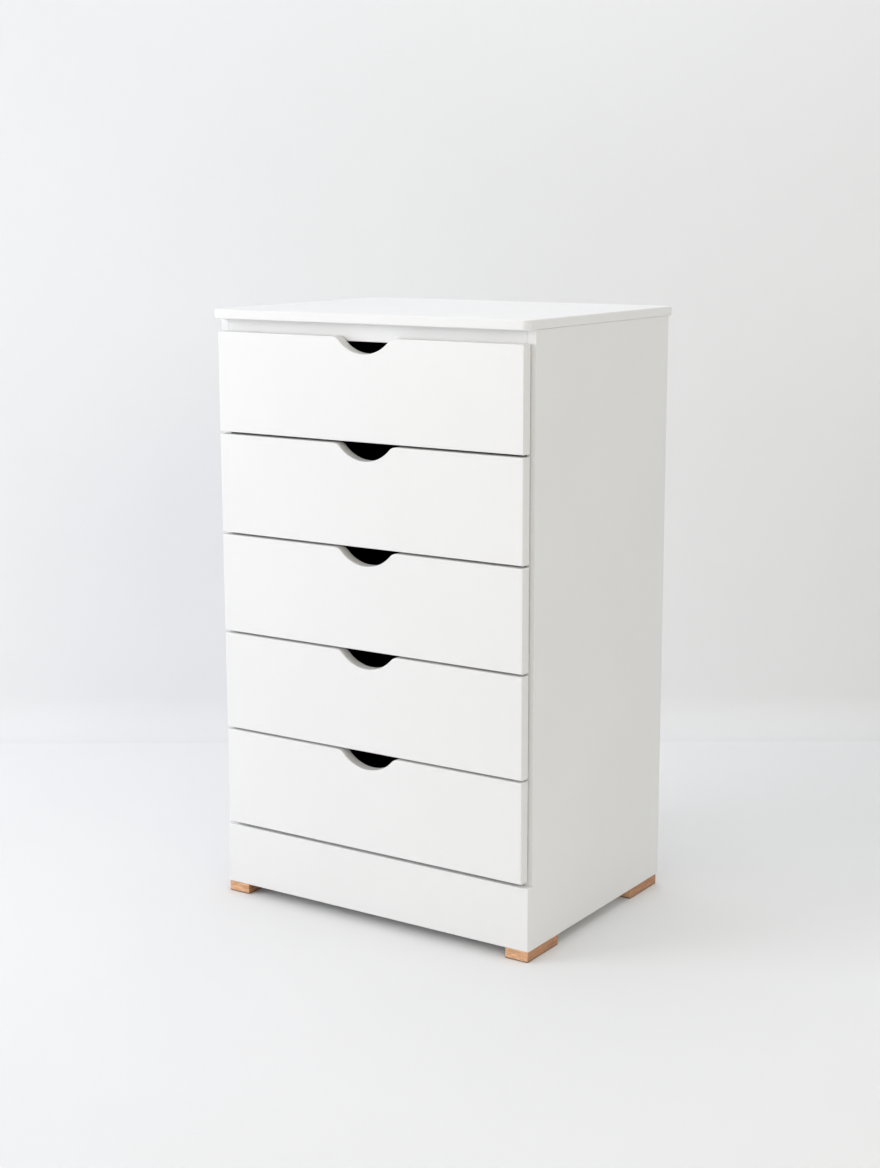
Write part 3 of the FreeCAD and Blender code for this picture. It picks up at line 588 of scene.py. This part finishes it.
def runner_balls(number, materials):
    """Ball cages of one drawer's runners: one pair in the cabinet members, one in the middle ones."""
    outer_low, outer_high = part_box("runner_cabinet_members")
    low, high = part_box(f"runner_{number}_middle_members")
    own_low, own_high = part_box(f"drawer_{number}_runner_members")
    middle = (low[2] + high[2]) / 2
    ball_lift = BALL_RADIUS + BALL_PLAY
    half = (high[2] - low[2]) / 2 + ball_lift
    own_half = (own_high[2] - own_low[2]) / 2 + ball_lift
    ends = (low[1] + CAGE_MARGIN, low[1] + (high[1] - low[1]) * CAGE_SHARE - CAGE_MARGIN)
    cages = [
        ("outer", "carcass", (outer_high[0] + high[0]) / 2, high[0] - OUTER_LIP, half),
        ("inner", f"runner_{number}", high[0] - INNER_WEB, own_high[0] - INNER_LIP, own_half),
    ]
    for name, body, web, lip, height in cages:
        mesh = bmesh.new()
        for hand in (-1, 1):
            cage_into(mesh, hand, web, lip, height, ends, middle)
        finish_piece(f"runner_{number}_{name}_cages", mesh, materials["zinc_plated_steel"],
                     body)


def bumpers(number, materials):
    """Four soft dots on a drawer front's back, which all but meet the side panels' front edges.

    The record has no slot for plastic, so the slot named here is the fronts' own."""
    low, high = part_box(f"drawer_{number}_front")
    panel_low, panel_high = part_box("side_panel_right")
    across = panel_low[0] + BUMPER_RADIUS + BUMPER_INSET
    front = high[1]
    rear = panel_low[1] - BUMPER_PLAY
    mesh = bmesh.new()
    for hand in (-1, 1):
        for up in (low[2] + BUMPER_LIFT, high[2] - BUMPER_LIFT):
            place = Matrix.Translation((hand * across, (front + rear) / 2, up))
            turn = Matrix.Rotation(math.pi / 2, 4, "X")
            bmesh.ops.create_cone(mesh, cap_ends=True, segments=BUMPER_SIDES, radius1=BUMPER_RADIUS,
                                  radius2=BUMPER_RADIUS * BUMPER_TAPER, depth=rear - front,
                                  matrix=place @ turn)
    finish_piece(f"drawer_{number}_bumpers", mesh, materials["bumper"],
                 f"drawer_{number}")


def add_fittings(materials):
    """All the pieces that the CAD model leaves plain or leaves out."""
    real_screws("carcass_screws", "carcass", materials)
    for name in DRAWERS:
        number = name.removeprefix("drawer_")
        real_screws(f"{name}_screws", name, materials)
        runner_balls(number, materials)
        bumpers(number, materials)


# Stage: a pale floor, a pale wall seen only from its front, and soft lights

WALL_AWAY = 4.82          # from the camera, level, along the view
STAGE_HALF = 24.0
WALL_HEIGHT = 6.0
COVE_RADIUS = 0.10
COVE_STEPS = 12
LIFT = 0.0005             # keeps the wall's foot just over the floor

# name, place, target, width and height in metres, power in watts, colour
SOFTBOXES = [
    ("key", (-4.6, -4.8, 1.9), (0.0, 0.0, 0.6), (3.6, 3.0), 65.5, (0.98, 1.0, 1.0)),
    ("key_near", (-2.8, -2.9, 2.2), (0.0, 0.0, 0.7), (2.4, 2.0), 62.0, (0.93, 0.93, 1.0)),
    ("front", (-1.8, -6.2, 2.2), (0.0, 0.0, 0.6), (3.0, 2.4), 28.0, (0.95, 0.96, 1.0)),
    ("top", (0.6, 0.2, 3.6), (0.6, 0.2, 0.0), (3.0, 2.0), 35.0, (0.93, 0.94, 1.0)),
    ("side", (4.6, 0.6, 1.8), (0.0, 0.0, 0.7), (2.4, 2.4), 17.0, (0.96, 1.0, 0.98)),
    ("side_front", (3.4, -2.4, 2.3), (0.0, 0.0, 0.6), (2.0, 2.0), 32.6, (1.0, 0.92, 0.72)),
    ("floor_front", (0.4, -1.6, 3.0), (0.0, -1.1, 0.0), (1.2, 0.8), 5.0, (1.0, 1.0, 0.93)),
]
SURROUND = 0.3            # strength of the even light from all round
STAGE_SHADE = 0.985       # the stage paint's darkest patches, as a share of its colour
STAGE_ROUGHNESS = 0.75
STAGE_SPECULAR = 0.3


def stage_material(name, colour, one_sided):
    """Matt pale paint. A one-sided sheet can't be seen from behind."""
    material, shader, tree = new_material(name)
    where = stretched(tree, (1, 1, 1))
    dark = tuple(channel * STAGE_SHADE for channel in colour)
    tone = ramp(tree, noise(tree, where, 1.5, 3.0), [(0.3, dark), (0.7, colour)])
    tree.links.new(tone, shader.inputs["Base Color"])
    shader.inputs["Roughness"].default_value = STAGE_ROUGHNESS
    shader.inputs["Specular IOR Level"].default_value = STAGE_SPECULAR
    if one_sided:
        clear = tree.nodes.new("ShaderNodeBsdfTransparent")
        behind = tree.nodes.new("ShaderNodeNewGeometry").outputs["Backfacing"]
        mix = tree.nodes.new("ShaderNodeMixShader")
        output = next(node for node in tree.nodes if node.type == "OUTPUT_MATERIAL")
        tree.links.new(behind, mix.inputs[0])
        tree.links.new(shader.outputs["BSDF"], mix.inputs[1])
        tree.links.new(clear.outputs["BSDF"], mix.inputs[2])
        tree.links.new(mix.outputs["Shader"], output.inputs["Surface"])
    return material


def stage_sheet(name, profile, material):
    """A wide sheet square to the view, through (distance from the camera, height) points."""
    forward, right, up = view_axes()
    level = Vector((forward.x, forward.y, 0)).normalized()
    aside = Vector((right.x, right.y, 0)).normalized()
    foot = Vector((CAMERA_SPOT.x, CAMERA_SPOT.y, 0))
    mesh = bmesh.new()
    rows = []
    for away, height in profile:
        spot = foot + level * away + Vector((0, 0, height))
        rows.append([mesh.verts.new(spot + aside * side) for side in (-STAGE_HALF, STAGE_HALF)])
    for low, high in zip(rows, rows[1:]):
        mesh.faces.new((low[0], low[1], high[1], high[0]))
    data = bpy.data.meshes.new(name)
    mesh.to_mesh(data)
    mesh.free()
    data.shade_smooth()
    data.materials.append(material)
    sheet = bpy.data.objects.new(name, data)
    bpy.context.scene.collection.objects.link(sheet)


def make_stage():
    """The floor, and the wall with a small cove at its foot."""
    floor_paint = stage_material("floor_paint", (0.89, 0.895, 0.90), False)
    stage_sheet("floor", [(-STAGE_HALF, 0.0), (2 * STAGE_HALF, 0.0)], floor_paint)
    profile = []
    for step in range(COVE_STEPS + 1):
        turn = math.pi / 2 * step / COVE_STEPS
        profile.append((WALL_AWAY - COVE_RADIUS + COVE_RADIUS * math.sin(turn),
                        LIFT + COVE_RADIUS - COVE_RADIUS * math.cos(turn)))
    profile.append((WALL_AWAY, WALL_HEIGHT))
    wall_paint = stage_material("wall_paint", (0.853, 0.858, 0.863), True)
    stage_sheet("wall", profile, wall_paint)


def softbox(name, spot, target, size, power, colour):
    """A rectangular area light that faces a target."""
    data = bpy.data.lights.new(name, "AREA")
    data.shape = "RECTANGLE"
    data.size, data.size_y = size
    data.energy = power
    data.color = colour
    lamp = bpy.data.objects.new(name, data)
    bpy.context.scene.collection.objects.link(lamp)
    lamp.visible_camera = False
    lamp.location = spot
    lamp.rotation_mode = "QUATERNION"
    lamp.rotation_quaternion = (Vector(target) - Vector(spot)).to_track_quat("-Z", "Y")


def make_lights():
    """The softboxes and an even surround."""
    world = bpy.data.worlds.new("surround")
    bpy.context.scene.world = world
    world.use_nodes = True
    background = world.node_tree.nodes["Background"]
    background.inputs["Color"].default_value = (1.0, 1.0, 1.0, 1.0)
    background.inputs["Strength"].default_value = SURROUND
    for box in SOFTBOXES:
        softbox(*box)


make_camera()
add_fittings(dress_nodes())
make_stage()
make_lights()
bpy.context.scene.view_settings.view_transform = "Standard"
